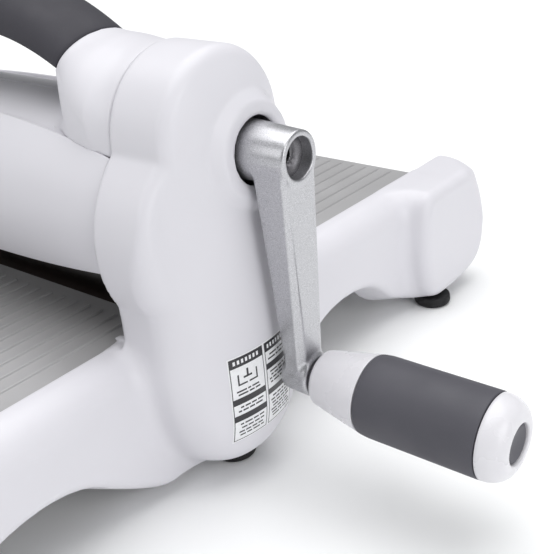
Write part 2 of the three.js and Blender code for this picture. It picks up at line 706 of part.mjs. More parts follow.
// ---------------------------------------------------------------- knob
function turnedKnob(profile, segments = 28) {
  return turnedX(profile, KNOB_Y, KNOB_Z, segments);
}

function knobCollar() {
  const bore = KNOB_R.bore;
  const tube = 7.8;
  return turnedKnob([
    [KNOB_X.collar, bore], [KNOB_X.collar, KNOB_R.collar0 - 0.8], [KNOB_X.collar + 1, KNOB_R.collar0],
    [KNOB_X.grip - GAP, KNOB_R.collar1], [KNOB_X.grip - GAP, tube], [KNOB_X.cap - GAP, tube],
    [KNOB_X.cap - GAP, bore], [KNOB_X.collar, bore],
  ]);
}

function knobGrip() {
  return turnedKnob([
    [KNOB_X.grip, 8.1], [KNOB_X.grip, KNOB_R.collar1], [KNOB_X.grip + 3, KNOB_R.collar1 + 0.4],
    [KNOB_X.cap - 6, KNOB_R.grip], [KNOB_X.cap - GAP, KNOB_R.grip], [KNOB_X.cap - GAP, 8.1],
    [KNOB_X.grip, 8.1],
  ]);
}

function knobCap() {
  const profile = [[KNOB_X.cap, 5.2], [KNOB_X.cap, KNOB_R.grip]];
  const corner = 8;
  const start = KNOB_X.end - corner;
  for (let i = 0; i <= 4; i += 1) {
    const angle = (Math.PI / 2) * (i / 4);
    profile.push([start + corner * Math.sin(angle), KNOB_R.grip - 6.2 * (1 - Math.cos(angle))]);
  }
  profile.push([KNOB_X.end, KNOB_R.button + GAP + 0.4], [KNOB_X.end - 1, KNOB_R.button + GAP]);
  profile.push([KNOB_X.cap + 6, KNOB_R.button + GAP], [KNOB_X.cap + 6, 7.2], [KNOB_X.cap + 1.6, 7.2]);
  profile.push([KNOB_X.cap + 1.6, 5.2], [KNOB_X.cap, 5.2]);
  return turnedKnob(profile);
}

function knobButton() {
  const x0 = KNOB_X.cap + 6.6;
  const r = KNOB_R.button;
  const face = KNOB_X.button;
  return turnedKnob([
    [x0, 0], [x0, r], [face - 0.6, r], [face, r - 1.2], [face - 0.6, r - 2.4], [face - 0.6, 0],
  ]);
}

// Steel pin that the knob turns on, with a head that keeps the knob on.
function knobSpindle() {
  const headX = KNOB_X.cap + 2;
  return turnedKnob([
    [113.4, 0], [113.4, SPINDLE.radius], [headX, SPINDLE.radius], [headX, 6.4],
    [headX + 2.2, 6.4], [headX + 2.8, 5.6], [headX + 2.8, 0],
  ], 18);
}

// ---------------------------------------------------------------- feet
function foot(x, y) {
  const r = FOOT.radius;
  const profile = [
    [0, 0], [r - 2, 0], [r - 0.6, 0.6], [r, 2.2], [r - 0.3, FOOT.height - 0.5],
    [r - 1, FOOT.height], [0, FOOT.height],
  ];
  const geometry = new THREE.LatheGeometry(profile.map(([u, z]) => new THREE.Vector2(u, z)), 18);
  geometry.rotateX(Math.PI / 2);
  geometry.translate(x, y, 0);
  const recess = cylinderZ(x, y, -1, 2.4, SCREW.head + GAP, 12);
  return cut(geometry, recess, cylinderZ(x, y, -1, 10, SCREW.shank + GAP, 10));
}

function footScrew(x, y) {
  const head = cylinderZ(x, y, 0.8, 2.1, SCREW.head, 12);
  return join(head, cylinderZ(x, y, 1.8, 13.5, SCREW.shank, 10));
}

// ---------------------------------------------------------------- assembly
const machine = new THREE.Group();
machine.position.x = FRAME_SHIFT_X;

function put(name, geometry, material) {
  const mesh = new THREE.Mesh(welded(geometry), materials[material]);
  mesh.geometry.computeVertexNormals();
  mesh.name = name;
  machine.add(mesh);
  return mesh;
}

function putPair(name, geometry, material) {
  put(`right_${name}`, geometry, material);
  put(`left_${name}`, mirrored(geometry), material);
}

put("right_side_housing", sideHousing(true), "white");
put("left_side_housing", mirrored(sideHousing(false)), "white");
putPair("inner_cover", innerCover(), "white");
putPair("bearing_plate", bearingPlate(), "steel");
putPair("upper_roller_bush", flangedBush(BUSH_R.roller, ROLLER.journal + GAP, 0, UPPER_ROLLER_Z), "bronze");
putPair("lower_roller_bush", flangedBush(BUSH_R.roller, ROLLER.journal + GAP, 0, LOWER_ROLLER_Z), "bronze");
put("crank_bush", flangedBush(BUSH_R.crank, SHAFT.radius + GAP, CRANK_Y, CRANK_Z), "bronze");

const rods = [["upper", UPPER_RODS], ["lower", LOWER_RODS]];
for (const [level, places] of rods) {
  places.forEach(([y, z], i) => {
    const end = i === 0 ? "front" : "rear";
    put(`${level}_${end}_tie_rod`, tieRod(y, z), "steel");
    const nut = hexNut(PLATE.x1 + GAP, y, z);
    put(`right_${level}_${end}_nut`, nut, "steel");
    put(`left_${level}_${end}_nut`, mirrored(nut), "steel");
  });
}

put("platform_bed", platformBed(), "bedGrey");
put("front_end_rail", crossMember(-BED.halfLength + 0.5, -BED.halfLength + 9, 34), "white");
put("rear_end_rail", crossMember(BED.halfLength - 9, BED.halfLength - 0.5, 34), "white");

put("front_hood", hood(), "white");
put("rear_hood", flipY(hood()), "white");
put("front_top_cover", topCover(-1), "white");
put("rear_top_cover", topCover(1), "white");
put("handle_grip", handleGrip(), "darkGrip");
put("handle_core", handleCore(0), "steel");
putPair("handle_sleeve", handleSleeve(), "white");

put("upper_roller", roller(ROLLER.halfLength, UPPER_ROLLER_Z, GEAR.x1 + 2), "steel");
put("lower_roller", roller(LOWER_BARREL, LOWER_ROLLER_Z, GEAR.x1 + 2), "steel");
// Each gear is turned so that its teeth stand in the gaps of the one before it.
const halfTooth = Math.PI / GEAR_TEETH;
const meshAngle = Math.asin(CRANK_Y / (PINION_RADIUS + GEAR_RADIUS));
const upperTurn = meshAngle - halfTooth;
const lowerTurn = halfTooth - upperTurn;
const gearBore = ROLLER.stub + GAP;
put("upper_roller_gear", gear(GEAR_TEETH, upperTurn, 0, UPPER_ROLLER_Z, gearBore, 10), "gearNylon");
put("lower_roller_gear", gear(GEAR_TEETH, lowerTurn, 0, LOWER_ROLLER_Z, gearBore, 10), "gearNylon");
const pinionBore = SHAFT.radius + GAP;
put("crank_pinion", gear(PINION_TEETH, meshAngle, CRANK_Y, CRANK_Z, pinionBore, 9), "steel");

put("crank_arm", crankArm(), "castSilver");
put("crank_shaft", crankShaft(), "steel");
put("crank_screw", crankScrew(), "steel");
put("knob_spindle", knobSpindle(), "steel");
put("knob_washer", tubeX(124.5, 126, 8.2, SPINDLE.radius + GAP, KNOB_Y, KNOB_Z, 28), "darkGrip");
put("knob_collar", knobCollar(), "white");
put("knob_grip", knobGrip(), "darkGrip");
put("knob_end_cap", knobCap(), "white");
put("knob_button", knobButton(), "darkGrip");

for (const [end, x, y] of FOOT_PLACES) {
  putPair(`${end}_foot`, foot(x, y), "blackRubber");
  putPair(`${end}_foot_screw`, footScrew(x, y), "steel");
}

const object = new THREE.Group();
object.add(machine);
export default object;
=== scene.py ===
"""Visual model of a hand-cranked die cutting machine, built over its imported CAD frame.

Shapes are worked out in the machine's own frame in millimetres: X across the machine with the
crank on +X, Y along the feed, Z up, origin on the ground at the middle. to_row() turns that
into the row frame in metres.
"""

import math

import bpy
import numpy as np
from mathutils import Euler, Matrix, Vector


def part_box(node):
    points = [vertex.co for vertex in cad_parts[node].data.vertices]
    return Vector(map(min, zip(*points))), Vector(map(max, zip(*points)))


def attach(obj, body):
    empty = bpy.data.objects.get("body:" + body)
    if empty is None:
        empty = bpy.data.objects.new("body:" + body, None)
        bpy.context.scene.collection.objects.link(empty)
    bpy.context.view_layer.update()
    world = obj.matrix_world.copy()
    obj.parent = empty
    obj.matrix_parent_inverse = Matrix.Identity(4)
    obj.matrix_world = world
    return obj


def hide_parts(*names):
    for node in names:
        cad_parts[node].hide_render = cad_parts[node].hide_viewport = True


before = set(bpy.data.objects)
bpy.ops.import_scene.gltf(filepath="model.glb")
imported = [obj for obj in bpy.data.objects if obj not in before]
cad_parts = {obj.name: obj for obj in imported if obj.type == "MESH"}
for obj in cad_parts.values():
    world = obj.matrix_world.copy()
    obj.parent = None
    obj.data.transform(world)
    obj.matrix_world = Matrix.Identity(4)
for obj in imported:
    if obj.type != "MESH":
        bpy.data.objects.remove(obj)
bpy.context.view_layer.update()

MM = 0.001
AXIS_R = 0.004  # a turned piece stops this far from its axis, so that no face has a zero edge
OUTSIDE_REACH = -9.0  # a field value deep enough to leave a cut without effect
BED_LOW, BED_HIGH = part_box("platform_bed")
CENTRE_X = (BED_LOW[0] + BED_HIGH[0]) / 2  # the machine's middle plane in the row frame

# ------------------------------------------------------------------ driving dimensions, mm
HEAD_Z, HEAD_R = 127.5, 27.4
BODY_Z, BODY_R = 96.8, 39.8
COLUMN_X0, COLUMN_X1 = 78.25, 107.4
WALL = 2.8
CROWN_R, CROWN_LOW, CROWN_REACH = 57.0, 34.0, 29.0  # bulge of the column's outer face
LEAN, LEAN_FROM, LEAN_FLOOR = 0.045, 86.0, 45.0  # outward lean, the X it starts at, the Z it ends at
TRUNK = [(34.2, 75.6), (33.2, 66), (34.1, 50), (32.9, 38), (30, 27), (23.5, 14.5), (10.5, 6.4)]
TRUNK_BOTTOM = 5.4
RAIL_X0, RAIL_X1, RAIL_Z = 73.0, 87.7, 60.0
RAIL_END = 155.5
ARCH_DRAFT = 0.36  # how far the arches close for each mm inwards
POD_X1, POD_FRONT, POD_BACK, POD_BOTTOM = 98.5, 130.5, 189.9, 5.2
POD_LEAN, POD_LEAN_FROM = 0.035, 30.0
POD_CORNER, CORNER_FACING = (85.5, 189.5, 60.0), (0.62, 0.65, 0.44)  # plane that cuts it off
SHROUD_Z = 100.2  # axis of the hoods and covers
HOOD_R, HOOD_WALL, COVER_R, COVER_WALL = 36.6, 2.6, 33.6, 2.6
COVER_HALF, COVER_SEAM_Y, COVER_SLIT = 77.8, -1.2, 0.22
HOOD_TOP, HOOD_BOTTOM = (124.0, 136.0), (86.5, 73.5)  # Z of an edge at its ends, and that it bows towards
SLEEVE_R, SLEEVE_X0 = 26.6, 51.0
HANDLE_TOP, HANDLE_SAG, HANDLE_HALF, HANDLE_JOINT = 158.3, 0.0056, 16.4, 45.5
CRANK_Y, CRANK_Z, CRANK_LENGTH = 5.5, 121.6, 80.82
CRANK_BORE = 11.1
RING_R, RING_SLOPE, RING_RISE = 19.6, 4.2, 1.85  # raised ring round the bore
HUB_START, HUB_FACE, CUP_R, CUP_FLOOR, SCREW_HOLE_R = 98.0, 125.7, 6.75, 119.9, 2.6
KNOB_Y, KNOB_Z = 11.5, 41.0
ROLLER_R, JOURNAL_R, SHAFT_END_R, ROD_R = 13.0, 7.0, 6.0, 4.5
UPPER_ROLLER_Z, LOWER_ROLLER_Z = 88.453, 46.453
BED_END, BED_FLAT, BED_GAP = 160.5, 16.8, 10.5  # Y of its end, of the ribs' start and of the rollers' gap
BED_HALF, BED_BASE, BED_UNDER, BED_BRIDGE = 72.6, 58.5, 55.9, 66.6
RIB_COUNT, RIB_PITCH, RIB_HEIGHT = 19, 7.03, 0.75
KNOB_R, SPINDLE_R, GRIP_END = 14.2, 4.3, 189.7
ENDS = {"front": -1, "rear": 1}
FEET = {"front": (91.5, -148.5), "centre": (88.5, 3.5), "rear": (91.5, 148.5)}


# ------------------------------------------------------------------ mesh helpers
def to_row(points):
    """Machine millimetres to row-frame metres."""
    row = np.asarray(points, float) * MM
    row[:, 0] += CENTRE_X
    return row


def add_object(name, points, faces, materials, body, node_names=(), sharp=None):
    """Object from machine-frame points and faces (an array of quads or a list of polygons)."""
    mesh = bpy.data.meshes.new(name)
    row = to_row(points)
    if isinstance(faces, np.ndarray):
        count = len(faces)
        mesh.vertices.add(len(row))
        mesh.vertices.foreach_set("co", row.ravel())
        mesh.loops.add(faces.size)
        mesh.loops.foreach_set("vertex_index", faces.ravel())
        mesh.polygons.add(count)
        mesh.polygons.foreach_set("loop_start", np.arange(count) * faces.shape[1])
        mesh.update(calc_edges=True)
    else:
        mesh.from_pydata(row.tolist(), [], [list(map(int, face)) for face in faces])
    mesh.validate()
    for material in materials:
        mesh.materials.append(material)
    mesh.shade_smooth()
    if sharp is not None:
        mesh.set_sharp_from_angle(angle=math.radians(sharp))
    piece = bpy.data.objects.new(name, mesh)
    bpy.context.scene.collection.objects.link(piece)
    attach(piece, body)
    if node_names:
        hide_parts(*node_names)
    return piece


def filleted(points, radius, steps=4):
    """The same open or closed polyline with its corners rounded; radius may be a list."""
    out = []
    radii = radius if isinstance(radius, (list, tuple)) else [radius] * len(points)
    last = len(points) - 1
    for i, point in enumerate(points):
        r = radii[i]
        if i in (0, last) or r <= 0:
            out.append(tuple(point))
            continue
        p = np.array(point, float)
        a = np.array(points[i - 1], float) - p
        b = np.array(points[i + 1], float) - p
        la, lb = np.linalg.norm(a), np.linalg.norm(b)
        reach = min(r, la * 0.49, lb * 0.49)
        start, end = p + a / la * reach, p + b / lb * reach
        for k in range(steps + 1):
            t = k / steps
            out.append(tuple((1 - t) ** 2 * start + 2 * t * (1 - t) * p + t ** 2 * end))
    return out


def lathe(profile, y, z, segments=64):
    """Points and quads of a profile of (x, radius) turned about a line along X at (y, z)."""
    angles = np.arange(segments) * 2 * math.pi / segments
    ring_y, ring_z = np.sin(angles), np.cos(angles)
    points = []
    for x, r in profile:
        r = max(r, AXIS_R)
        points.append(np.stack([np.full(segments, x), y + r * ring_y, z + r * ring_z], axis=1))
    rows = np.arange(len(profile) - 1)[:, None] * segments
    k = np.arange(segments)[None, :]
    after = (k + 1) % segments
    quads = np.stack([rows + k, rows + segments + k, rows + segments + after, rows + after], axis=-1)
    return np.concatenate(points), quads.reshape(-1, 4)


def turned(name, profile, y, z, material, body, nodes, segments=64, sharp=40):
    """A turned piece; the profile runs from its low X end to its high X end, outside last."""
    points, quads = lathe(profile, y, z, segments)
    return add_object(name, points, quads, [material], body, nodes, sharp)


def sheet_solid(grid_outer, grid_inner):
    """Closed solid between two equal grids of points, with its four edges closed."""
    nu, nv = grid_outer.shape[:2]
    points = np.concatenate([grid_outer.reshape(-1, 3), grid_inner.reshape(-1, 3)])
    index = np.arange(nu * nv).reshape(nu, nv)
    under = index + nu * nv

    def strip(a, b):
        return np.stack([a[:-1], a[1:], b[1:], b[:-1]], axis=-1)

    top = np.stack([index[:-1, :-1], index[1:, :-1], index[1:, 1:], index[:-1, 1:]], axis=-1)
    bottom = np.stack([under[:-1, :-1], under[:-1, 1:], under[1:, 1:], under[1:, :-1]], axis=-1)
    faces = [top.reshape(-1, 4), bottom.reshape(-1, 4)]
    faces.append(strip(under[:, 0], index[:, 0]))
    faces.append(strip(index[:, -1], under[:, -1]))
    faces.append(strip(index[0, :], under[0, :]))
    faces.append(strip(under[-1, :], index[-1, :]))
    return points, np.concatenate(faces)


def bevelled(piece, width, segments=3, angle=40):
    """Rounds the hard edges of a piece or of a carried-over node with a modifier."""
    bevel = piece.modifiers.new("edge_round", "BEVEL")
    bevel.width = width * MM
    bevel.segments = segments
    bevel.limit_method = "ANGLE"
    bevel.angle_limit = math.radians(angle)
    bevel.harden_normals = False
    return piece


# ------------------------------------------------------------------ distance fields
def outline_distance(u, v, points):
    """Signed distance from (u, v) to a closed outline, negative inside it."""
    shape = np.broadcast(u, v).shape
    nearest = np.full(shape, 1e18)
    inside = np.zeros(shape, bool)
    for (u0, v0), (u1, v1) in zip(points, points[1:] + points[:1]):
        du, dv = u1 - u0, v1 - v0
        wu, wv = u - u0, v - v0
        t = np.clip((wu * du + wv * dv) / (du * du + dv * dv), 0, 1)
        nearest = np.minimum(nearest, (wu - t * du) ** 2 + (wv - t * dv) ** 2)
        if dv != 0:
            inside ^= ((v0 > v) != (v1 > v)) & (wu < du * wv / dv)
    return np.where(inside, -1.0, 1.0) * np.sqrt(nearest)


def both(a, b, r=0.0):
    """Intersection of two fields, its edge rounded by r."""
    corner = np.sqrt(np.maximum(a + r, 0) ** 2 + np.maximum(b + r, 0) ** 2)
    return np.minimum(np.maximum(a, b), -r) + corner


def blend_join(a, b, k):
    """Union of two fields with a soft fillet about k wide."""
    h = np.maximum(k - np.abs(a - b), 0) / k
    return np.minimum(a, b) - h * h * k / 4


def soft_step(value, start, end):
    """0 before start, 1 after end, and a smooth S between them."""
    t = np.clip((value - start) / (end - start), 0, 1)
    return t * t * (3 - 2 * t)


def bezier(points, steps=10):
    """Points along a Bezier curve of any degree, without its first one."""
    out = []
    for i in range(1, steps + 1):
        t = i / steps
        level = [np.array(p, float) for p in points]
        while len(level) > 1:
            level = [a * (1 - t) + b * t for a, b in zip(level, level[1:])]
        out.append(tuple(level[0]))
    return out


def zero_surface(field, low, high, step):
    """Quads over the zero level of a field: one vertex a cell, moved onto the surface."""
    axes = [np.arange(a, b + step, step) for a, b in zip(low, high)]
    size = tuple(len(a) for a in axes)
    values = field(axes[0][:, None, None], axes[1][None, :, None], axes[2][None, None, :])
    values = np.broadcast_to(values, size)
    inside = values < 0
    cells = tuple(n - 1 for n in size)
    stride = np.array([cells[1] * cells[2], cells[2], 1])
    ids, spots, quads = [], [], []
    for axis in range(3):
        near = [slice(None)] * 3
        far = [slice(None)] * 3
        near[axis], far[axis] = slice(None, -1), slice(1, None)
        near, far = tuple(near), tuple(far)
        edge = np.argwhere(inside[near] != inside[far])
        a = values[near][tuple(edge.T)]
        b = values[far][tuple(edge.T)]
        spot = edge.astype(float)
        spot[:, axis] += a / (a - b)
        u, v = (axis + 1) % 3, (axis + 2) % 3
        ring = []
        for du, dv in ((-1, -1), (0, -1), (0, 0), (-1, 0)):
            cell = edge.copy()
            cell[:, u] += du
            cell[:, v] += dv
            ring.append(cell)
            ids.append(cell)
            spots.append(spot)
        quad = np.stack(ring, axis=1)
        quad[a > 0] = quad[a > 0][:, ::-1]
        quads.append(quad)
    ids, spots, quads = np.concatenate(ids), np.concatenate(spots), np.concatenate(quads)
    kept = np.all((ids >= 0) & (ids < cells), axis=1)
    flat = ids[kept] @ stride
    total = int(np.prod(cells))
    number = np.bincount(flat, minlength=total)
    used = np.flatnonzero(number)
    points = np.stack(
        [np.bincount(flat, spots[kept, i], total)[used] / number[used] for i in range(3)], axis=1
    )
    points = np.array([a[0] for a in axes]) + points * step
    for _ in range(2):
        here = field(*points.T)
        e = 0.02 * step
        slope = np.stack(
            [(field(*(points + e * np.eye(3)[i]).T) - here) / e for i in range(3)], axis=1
        )
        move = -(here / np.maximum((slope ** 2).sum(axis=1), 0.1))[:, None] * slope
        length = np.linalg.norm(move, axis=1, keepdims=True)
        points += move * np.minimum(1, 0.7 * step / np.maximum(length, 1e-9))
    lookup = np.full(total, -1)
    lookup[used] = np.arange(len(used))
    whole = np.all((quads >= 0) & (quads < cells), axis=(1, 2))
    return points, lookup[quads[whole] @ stride]


# ------------------------------------------------------------------ materials
class Nodes:
    """Small helper round one material's node tree."""

    def __init__(self, name):
        self.material = bpy.data.materials.new(name)
        self.material.use_nodes = True
        self.tree = self.material.node_tree
        self.shader = self.tree.nodes["Principled BSDF"]
        coords = self.tree.nodes.new("ShaderNodeTexCoord")
        self.place = coords.outputs["Object"]

    def add(self, kind, inputs=None, **settings):
        node = self.tree.nodes.new(kind)
        for key, value in settings.items():
            setattr(node, key, value)
        for key, value in (inputs or {}).items():
            if isinstance(value, bpy.types.NodeSocket):
                self.tree.links.new(value, node.inputs[key])
            else:
                node.inputs[key].default_value = value
        return node

    def noise(self, scale, detail=2.0, rough=0.5, stretch=None):
        place = self.place
        if stretch:
            place = self.add("ShaderNodeMapping", {"Vector": place, "Scale": stretch}).outputs[0]
        made = self.add(
            "ShaderNodeTexNoise",
            {"Vector": place, "Scale": scale, "Detail": detail, "Roughness": rough},
        )
        return made.outputs["Fac"]

    def spread(self, value, low, high, start=0.3, end=0.7):
        made = self.add(
            "ShaderNodeMapRange",
            {"Value": value, "From Min": start, "From Max": end, "To Min": low, "To Max": high},
        )
        return made.outputs[0]

    def mix(self, factor, first, second):
        """Colour between a first colour or socket and a second colour."""
        made = self.add("ShaderNodeMix", data_type="RGBA")
        self.tree.links.new(factor, made.inputs[0])
        if isinstance(first, bpy.types.NodeSocket):
            self.tree.links.new(first, made.inputs[6])
        else:
            made.inputs[6].default_value = (*first, 1)
        made.inputs[7].default_value = (*second, 1)
        return made.outputs[2]

    def drive(self, socket, value):
        if isinstance(value, bpy.types.NodeSocket):
            self.tree.links.new(value, self.shader.inputs[socket])
        else:
            self.shader.inputs[socket].default_value = value

    def bump(self, *layers):
        """Layers of (height, strength, distance in mm), finest last."""
        normal = None
        for height, strength, distance in layers:
            inputs = {"Height": height, "Strength": strength, "Distance": distance * MM}
            if normal:
                inputs["Normal"] = normal
            normal = self.add("ShaderNodeBump", inputs).outputs[0]
        self.drive("Normal", normal)


def moulded_plastic(name, light, dark, rough_low, rough_high, grain, specular=0.5):
    """Moulded plastic with a fine tool texture and slow variation in tone and gloss."""
    n = Nodes(name)
    n.drive("Base Color", n.mix(n.spread(n.noise(14, 3), 0, 1), dark, light))
    n.drive("Roughness", n.spread(n.noise(55, 4), rough_low, rough_high))
    n.drive("Specular IOR Level", specular)
    n.bump((n.noise(60, 2), 0.25, 0.05), (n.noise(1900, 3, 0.6), grain, 0.03))
    return n.material


def soft_grip(name, light, dark, rough=(0.5, 0.62), specular=0.4):
    """Dark soft-touch skin: even fine grain, slight dusting where it is handled."""
    n = Nodes(name)
    dust = n.spread(n.noise(3400, 2, 0.7), 0, 1, 0.62, 0.78)
    tone = n.mix(n.spread(n.noise(30, 3), 0, 1), dark, light)
    n.drive("Base Color", n.mix(n.spread(dust, 0, 0.16, 0, 1), tone, (0.22, 0.22, 0.24)))
    n.drive("Roughness", n.spread(n.noise(90, 3), *rough))
    n.drive("Specular IOR Level", specular)
    n.bump((n.noise(2600, 3, 0.6), 0.35, 0.03))
    return n.material


def silver_paint(name, dark, light, metallic, rough):
    """Silver paint over a die-cast arm: fine metal flake and a light orange peel."""
    n = Nodes(name)
    flake = n.noise(3800, 2, 0.75)
    n.drive("Base Color", n.mix(n.spread(flake, 0, 1, 0.38, 0.66), dark, light))
    n.drive("Metallic", metallic)
    n.drive("Roughness", n.spread(flake, *rough))
    n.bump((n.noise(420, 3), 0.12, 0.04), (flake, 0.22, 0.02))
    return n.material


def turned_steel(name, light, dark, rough=(0.22, 0.4), relief=0.1):
    """Machined steel with tool lines round the X axis."""
    n = Nodes(name)
    lines = n.noise(900, 3, 0.6, stretch=(1.0, 0.04, 0.04))
    n.drive("Base Color", n.mix(n.spread(lines, 0, 1), dark, light))
    n.drive("Metallic", 1.0)
    n.drive("Roughness", n.spread(lines, *rough))
    n.bump((lines, relief, 0.02))
    return n.material


def bed_finish(name):
    """Satin grey moulding of the bed: grain drawn out along the ribs, dulled in patches."""
    n = Nodes(name)
    drawn = n.noise(700, 3, 0.6, stretch=(1.0, 0.05, 1.0))
    cloud = n.noise(18, 4)
    n.drive("Base Color", n.mix(n.spread(cloud, 0, 1), (0.37, 0.365, 0.37), (0.43, 0.425, 0.43)))
    n.drive("Metallic", 0.15)
    n.drive("Roughness", n.spread(cloud, 0.30, 0.40))
    n.drive("Specular IOR Level", 0.7)
    n.bump((drawn, 0.22, 0.03), (n.noise(2400, 2, 0.6), 0.2, 0.02))
    return n.material


def rubber(name):
    """Black rubber with a coarse matt grain."""
    n = Nodes(name)
    blotch = n.spread(n.noise(180, 3), 0, 1)
    n.drive("Base Color", n.mix(blotch, (0.006, 0.006, 0.007), (0.017, 0.016, 0.017)))
    n.drive("Roughness", n.spread(n.noise(400, 3), 0.5, 0.7))
    n.drive("Specular IOR Level", 0.35)
    n.bump((n.noise(1500, 3, 0.6), 0.4, 0.04))
    return n.material


def printed_paper(name, tone):
    """Print on a glossy film: slight mottling of the ink."""
    n = Nodes(name)
    shade = tuple(c * 0.93 for c in tone)
    n.drive("Base Color", n.mix(n.spread(n.noise(900, 2), 0, 1), shade, tone))
    n.drive("Roughness", n.spread(n.noise(120, 2), 0.26, 0.34))
    n.bump((n.noise(1500, 2), 0.08, 0.02))
    return n.material


WHITE = moulded_plastic("white_moulding", (0.70, 0.69, 0.73), (0.675, 0.665, 0.705), 0.36, 0.46, 0.10)
KNOB_WHITE = moulded_plastic("knob_white", (0.72, 0.71, 0.74), (0.69, 0.68, 0.71), 0.24, 0.32, 0.05)
GRIP = soft_grip("soft_grip", (0.083, 0.081, 0.096), (0.066, 0.065, 0.078))
HAND_GRIP = soft_grip("hand_grip", (0.052, 0.050, 0.060), (0.040, 0.039, 0.048), (0.6, 0.72), 0.3)
SILVER = silver_paint("silver_paint", (0.40, 0.40, 0.42), (0.66, 0.66, 0.68), 0.86, (0.27, 0.4))
# darker, duller copy of the silver paint: painted shade for the inside of the crank's cup
CUP_SHADE_SILVER = silver_paint("silver_cup_painted_shade", (0.15, 0.145, 0.155), (0.28, 0.275, 0.29), 0.8, (0.4, 0.55))
STEEL = turned_steel("turned_steel", (0.62, 0.62, 0.63), (0.42, 0.42, 0.44))
# near-black, brown-tinted steel for the rollers: painted shade of the slot under the hoods where they sit
SHADED_ROLLER_STEEL = turned_steel("roller_steel_painted_shade", (0.075, 0.06, 0.054), (0.065, 0.052, 0.047), (0.42, 0.46), 0)
BLACKENED = turned_steel("blackened_steel", (0.06, 0.06, 0.062), (0.04, 0.04, 0.042))
BRONZE = turned_steel("bronze_bush", (0.56, 0.38, 0.17), (0.38, 0.25, 0.11), (0.28, 0.45))
BED = bed_finish("bed_satin")
RUBBER = rubber("black_rubber")
NYLON = moulded_plastic("gear_nylon", (0.72, 0.69, 0.60), (0.64, 0.61, 0.53), 0.42, 0.55, 0.2)
LABEL_WHITE = printed_paper("label_white", (0.86, 0.86, 0.88))
LABEL_DARK = printed_paper("label_dark", (0.035, 0.034, 0.038))


# ------------------------------------------------------------------ side housings
def body_outline(steps=4):
    """(y, z) outline of a column below its head: body circle and trunk."""
    trunk = math.atan2(TRUNK[0][1] - BODY_Z, TRUNK[0][0])  # where the trunk leaves the circle
    half = [(BODY_R * math.cos(a), BODY_Z + BODY_R * math.sin(a))
            for a in np.linspace(math.pi / 2, trunk, 31)]
    half += filleted([half[-1]] + TRUNK[1:] + [(0, TRUNK_BOTTOM)], 9, steps)[1:]
    other = [(-y, z) for y, z in reversed(half[1:-1])]
    return half + other


def pod_outline():
    """(y, z) outline of a pod, round at its top corners and swept up at its bottom ones."""
    y0, y1, z0, z1 = POD_FRONT, POD_BACK, POD_BOTTOM, RAIL_Z
    points = [(y0 + 17, z0)]
    points += bezier([(y0 + 17, z0), (y1 - 8, z0), (y1, z0 + 4), (y1, z0 + 26)])
    points += bezier([(y1, z1 - 6), (y1, z1), (y1 - 6, z1)])
    points += bezier([(y0 + 12, z1), (y0 + 3, z1), (y0, z1 - 8), (y0, z1 - 20)])
    points += bezier([(y0, z1 - 20), (y0, z0 + 12), (y0 + 6, z0), (y0 + 17, z0)])
    return points[:-1]


def arch_outline():
    """(y, z) outline of the arch between the centre foot and an end foot, closed below the ground."""
    points = [(25.5, -25), (25.5, -1), (29.5, 5)]
    points += bezier([(29.5, 5), (43.5, 12), (54.5, 20)], 6)
    points += bezier([(54.5, 20), (64.5, 29.5), (82, 30)], 6)
    points += bezier([(82, 30), (102.5, 30), (112.5, 20.5)], 6)
    points += bezier([(112.5, 20.5), (118.5, 14), (128.5, 10)], 6)
    return points + [(141.5, 5), (143.5, -1), (143.5, -25)]


BODY_OUTLINE = body_outline()
POD_OUTLINE = pod_outline()
ARCH_OUTLINE = arch_outline()


def from_crank_axis(y, z):
    """Distance from the crank's axis."""
    return np.sqrt((y - CRANK_Y) ** 2 + (z - CRANK_Z) ** 2)


def column_face_x(y, z):
    """X of the column's crowned outer face before it leans."""
    off = np.maximum(np.maximum(z - HEAD_Z, CROWN_LOW - z), 0)
    q = np.sqrt(y ** 2 + off ** 2)
    past = q - CROWN_REACH
    q = q - 0.5 * (past + np.sqrt(past ** 2 + 9))  # levels off at the reach
    return COLUMN_X1 - CROWN_R + np.sqrt(CROWN_R ** 2 - q ** 2)


def ringed_face_x(y, z):
    """The same with the raised ring round the crank."""
    face = column_face_x(y, z)
    share = np.clip((RING_R - from_crank_axis(y, z)) / RING_SLOPE, 0, 1)
    return face + (COLUMN_X1 + RING_RISE - face) * share ** 1.25


def lean_rate(z):
    """How far the outer face leans out at a height, for each mm beyond LEAN_FROM."""
    return LEAN * np.maximum(0, HEAD_Z - np.maximum(z, LEAN_FLOOR)) / (COLUMN_X1 - LEAN_FROM)


def leaning_x(x, z):
    """X with the outward lean of the outer face put in."""
    return x + np.maximum(0, x - LEAN_FROM) * lean_rate(z)


def upright_x(x, z):
    """X with the outward lean taken out."""
    return np.where(x < LEAN_FROM, x, LEAN_FROM + (x - LEAN_FROM) / (1 + lean_rate(z)))


def column_solid(x, y, z, face_at):
    """Round head and body of a column behind its outer face."""
    face = upright_x(x, z) - face_at(y, z)
    head = both(np.sqrt(y ** 2 + (z - HEAD_Z) ** 2) - HEAD_R, face, 3.2)
    rim = 9.5 - 6 * soft_step(z, 84, 112)  # the rim is rounder low down
    body = both(outline_distance(np.abs(y), z, BODY_OUTLINE), face, rim)
    return blend_join(head, body, 0.9)


def pod_solid(x, side, z):
    """Pod at the end of a rail, with its outer corner rounded off."""
    face = x - POD_X1 + POD_LEAN * np.maximum(0, z - POD_LEAN_FROM)
    pod = both(outline_distance(side, z, POD_OUTLINE), face, 5.5)
    off_corner = sum(n * (c - p) for n, c, p in zip(CORNER_FACING, (x, side, z), POD_CORNER))
    return both(pod, off_corner, 7)


def rail_solid(x, side, z):
    """Rail beside the bed, with its arches cut out."""
    arch = outline_distance(side, z, ARCH_OUTLINE) + ARCH_DRAFT * np.maximum(0, RAIL_X1 - x)
    rail = both(x - RAIL_X1, z - RAIL_Z, 13)
    rail = both(rail, side - RAIL_END, 1)
    rail = both(rail, TRUNK_BOTTOM - z, 1)
    return both(rail, -arch * 0.94, 2.2)


